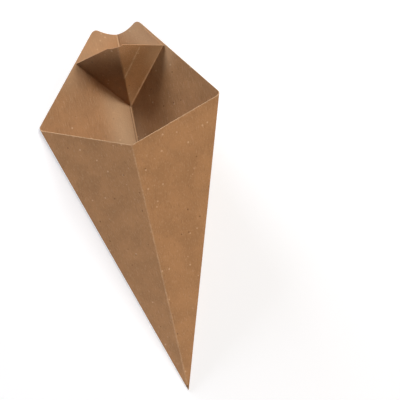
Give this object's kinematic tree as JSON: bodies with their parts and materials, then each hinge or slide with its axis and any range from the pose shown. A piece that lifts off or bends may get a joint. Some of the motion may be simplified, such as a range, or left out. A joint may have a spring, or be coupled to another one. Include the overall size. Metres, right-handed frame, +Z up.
{
  "type": "french fries cone",
  "caption": "Folded kraft board cone for french fries, with a tall back, a notch between two horns and a folded sauce pocket at the back.",
  "frame": {"origin": "on the ground, under the middle of the lying cone's bounding box", "axes": "+Y along the resting panel towards the mouth, +Z up, away from the outer back left panel that it lies on"},
  "size_m": [0.0846, 0.1934, 0.041],
  "materials": {
    "kraft_board": "matt uncoated kraft board, brown on both sides"
  },
  "bodies": {
    "root": {"fries_cone": "kraft_board"}
  },
  "joints": []
}
